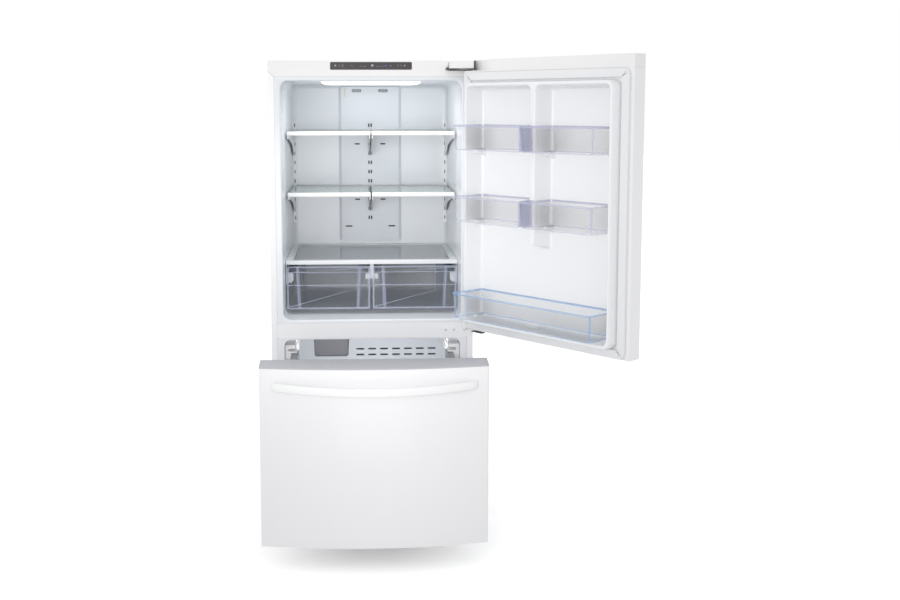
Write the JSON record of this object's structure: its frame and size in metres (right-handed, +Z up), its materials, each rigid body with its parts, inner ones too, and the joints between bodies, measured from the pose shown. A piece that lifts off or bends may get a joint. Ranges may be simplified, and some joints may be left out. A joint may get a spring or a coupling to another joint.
{
  "type": "bottom freezer refrigerator",
  "caption": "Upright refrigerator with a hinged fresh-food door above a pull-out freezer drawer, both open, with shelves, crispers, door bins and a freezer basket.",
  "frame": {"origin": "middle of the footprint of the standing part with its door and drawer open, on the floor", "axes": "+Z up, the doors face -Y, +X to the right as seen from the front"},
  "size_m": [1.2688, 1.3704, 1.698],
  "materials": {
    "painted_case": "smooth semi-gloss white enamel",
    "white_plastic": "satin white moulding",
    "liner_plastic": "glossy vacuum-formed liner, cool white",
    "door_liner_plastic": "glossy vacuum-formed liner, white",
    "grey_cap": "fine matt light grey",
    "control_glass": "smoked glossy window",
    "foam_core": "rigid insulating foam",
    "zinc_steel": "zinc coated sheet",
    "dark_steel": "dark plated steel",
    "black_paint": "black enamel",
    "gasket_rubber": "soft white seal",
    "shelf_glass": "clear tempered glass",
    "clear_plastic": "clear moulding with a cool tint",
    "lamp_lens": "frosted diffuser",
    "duct_plastic": "satin cool grey-white moulding",
    "freezer_plastic": "satin cool grey moulding",
    "fin_stock": "matt fin stock",
    "dark_plastic": "dark grey moulding"
  },
  "bodies": {
    "cabinet": {"outer_case": "painted_case", "back_panel": "zinc_steel", "fresh_food_liner": "liner_plastic", "freezer_liner": "liner_plastic", "cabinet_foam": "foam_core", "top_header": "white_plastic", "control_panel": "control_glass", "shelf_track_left": "white_plastic", "shelf_track_right": "white_plastic", "air_duct_cover": "duct_plastic", "ceiling_lamp_cover": "lamp_lens", "shelf_frame_upper_left": "white_plastic", "shelf_glass_upper_left": "shelf_glass", "shelf_frame_upper_right": "white_plastic", "shelf_glass_upper_right": "shelf_glass", "shelf_frame_lower_left": "white_plastic", "shelf_glass_lower_left": "shelf_glass", "shelf_frame_lower_right": "white_plastic", "shelf_glass_lower_right": "shelf_glass", "crisper_cover_frame": "white_plastic", "crisper_cover_glass": "shelf_glass", "evaporator_cover": "freezer_plastic", "evaporator_coil": "fin_stock", "freezer_rail_left": "white_plastic", "freezer_rail_right": "white_plastic", "top_hinge": "dark_steel", "top_hinge_cover": "white_plastic", "centre_hinge": "painted_case", "base_pan": "zinc_steel", "compressor": "black_paint", "machine_cover": "zinc_steel"},
    "fresh_food_door": {"door_skin": "painted_case", "door_liner": "door_liner_plastic", "door_foam": "foam_core", "door_gasket": "gasket_rubber", "door_top_cap": "white_plastic", "door_handle": "white_plastic", "door_stop": "dark_steel"},
    "freezer_drawer": {"drawer_skin": "painted_case", "drawer_top_cap": "grey_cap", "drawer_liner": "door_liner_plastic", "drawer_foam": "foam_core", "drawer_gasket": "gasket_rubber", "drawer_handle": "white_plastic", "drawer_slide_frame": "zinc_steel", "freezer_basket": "white_plastic"},
    "tray": {"freezer_tray": "clear_plastic"},
    "left_crisper": {"crisper_drawer_left": "clear_plastic"},
    "right_crisper": {"crisper_drawer_right": "clear_plastic"},
    "bin_upper_left": {"door_bin_upper_left": "clear_plastic"},
    "bin_upper_right": {"door_bin_upper_right": "clear_plastic"},
    "bin_middle_left": {"door_bin_middle_left": "clear_plastic"},
    "bin_middle_right": {"door_bin_middle_right": "clear_plastic"},
    "bin_lower": {"door_bin_lower": "clear_plastic"},
    "freezer_fan": {"evaporator_fan": "dark_plastic"},
    "cooling_fan": {"machine_fan": "dark_plastic"},
    "left_foot": {"levelling_foot_left": "zinc_steel"},
    "right_foot": {"levelling_foot_right": "zinc_steel"},
    "left_roller": {"rear_roller_left": "dark_plastic"},
    "right_roller": {"rear_roller_right": "dark_plastic"}
  },
  "joints": [
    {"name": "door_hinge", "type": "hinge", "parent": "cabinet", "child": "fresh_food_door", "pos_m": [0.10743, -0.05926, 1.2], "axis": [0, 0, 1], "range_deg": [-129.78, 0]},
    {"name": "drawer_slide", "type": "slide", "parent": "cabinet", "child": "freezer_drawer", "axis": [0, -1, 0], "range_m": [-0.455, 0.033]},
    {"name": "tray_slide", "type": "slide", "parent": "freezer_drawer", "child": "tray", "axis": [0, 1, 0], "range_m": [0, 0.11]},
    {"name": "left_crisper_slide", "type": "slide", "parent": "cabinet", "child": "left_crisper", "axis": [0, -1, 0], "range_m": [0, 0.3]},
    {"name": "right_crisper_slide", "type": "slide", "parent": "cabinet", "child": "right_crisper", "axis": [0, -1, 0], "range_m": [0, 0.22]},
    {"name": "bin_upper_left_lift", "type": "slide", "parent": "fresh_food_door", "child": "bin_upper_left", "axis": [0, 0, 1], "range_m": [0, 0.025]},
    {"name": "bin_upper_right_lift", "type": "slide", "parent": "fresh_food_door", "child": "bin_upper_right", "axis": [0, 0, 1], "range_m": [0, 0.025]},
    {"name": "bin_middle_left_lift", "type": "slide", "parent": "fresh_food_door", "child": "bin_middle_left", "axis": [0, 0, 1], "range_m": [0, 0.025]},
    {"name": "bin_middle_right_lift", "type": "slide", "parent": "fresh_food_door", "child": "bin_middle_right", "axis": [0, 0, 1], "range_m": [0, 0.025]},
    {"name": "bin_lower_lift", "type": "slide", "parent": "fresh_food_door", "child": "bin_lower", "axis": [0, 0, 1], "range_m": [0, 0.025]},
    {"name": "freezer_fan_spin", "type": "hinge", "parent": "cabinet", "child": "freezer_fan", "pos_m": [-0.25637, 0.55824, 0.598], "axis": [0, 1, 0], "continuous": true},
    {"name": "cooling_fan_spin", "type": "hinge", "parent": "cabinet", "child": "cooling_fan", "pos_m": [-0.22137, 0.54124, 0.15], "axis": [1, 0, 0], "continuous": true},
    {"name": "left_foot_screw", "type": "hinge", "parent": "cabinet", "child": "left_foot", "pos_m": [-0.58637, 0.04124, 0.03], "axis": [0, 0, 1], "range_deg": [-360, 720]},
    {"name": "right_foot_screw", "type": "hinge", "parent": "cabinet", "child": "right_foot", "pos_m": [0.07363, 0.04124, 0.03], "axis": [0, 0, 1], "range_deg": [-360, 720]},
    {"name": "left_roller_spin", "type": "hinge", "parent": "cabinet", "child": "left_roller", "pos_m": [-0.57237, 0.60324, 0.024], "axis": [1, 0, 0], "continuous": true},
    {"name": "right_roller_spin", "type": "hinge", "parent": "cabinet", "child": "right_roller", "pos_m": [0.05963, 0.60324, 0.024], "axis": [1, 0, 0], "continuous": true}
  ]
}
